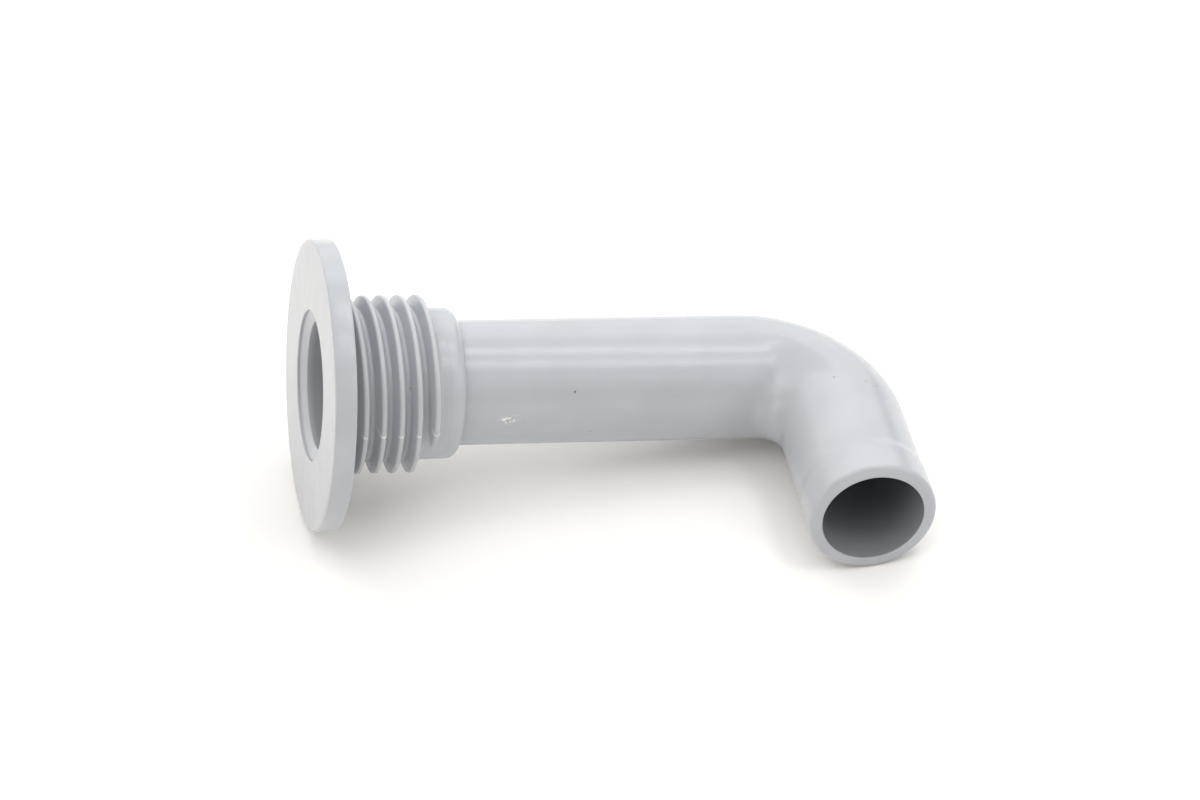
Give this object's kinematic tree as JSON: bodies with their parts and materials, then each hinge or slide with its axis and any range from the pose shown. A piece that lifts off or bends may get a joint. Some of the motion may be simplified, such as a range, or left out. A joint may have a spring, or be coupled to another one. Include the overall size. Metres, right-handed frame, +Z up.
{
  "type": "thru hull fitting",
  "caption": "Plastic through-hull drain fitting: a flat round flange and a coarse-threaded barrel lead into a straight pipe, a 90 degree bend and a short beaded hose tail.",
  "frame": {"origin": "on the ground under the middle of the lying part, which rests on the flange rim, the bend and the hose bead", "axes": "+X along the ground from the flange towards the bend, +Z up; the tail points to -Y and the barrel slopes down about 9.3 degrees towards +X"},
  "size_m": [0.1235, 0.0756, 0.0588],
  "materials": {
    "grey_plastic": "satin, as moulded"
  },
  "bodies": {
    "root": {"flanged_barrel": "grey_plastic", "elbow_pipe": "grey_plastic"}
  },
  "joints": []
}
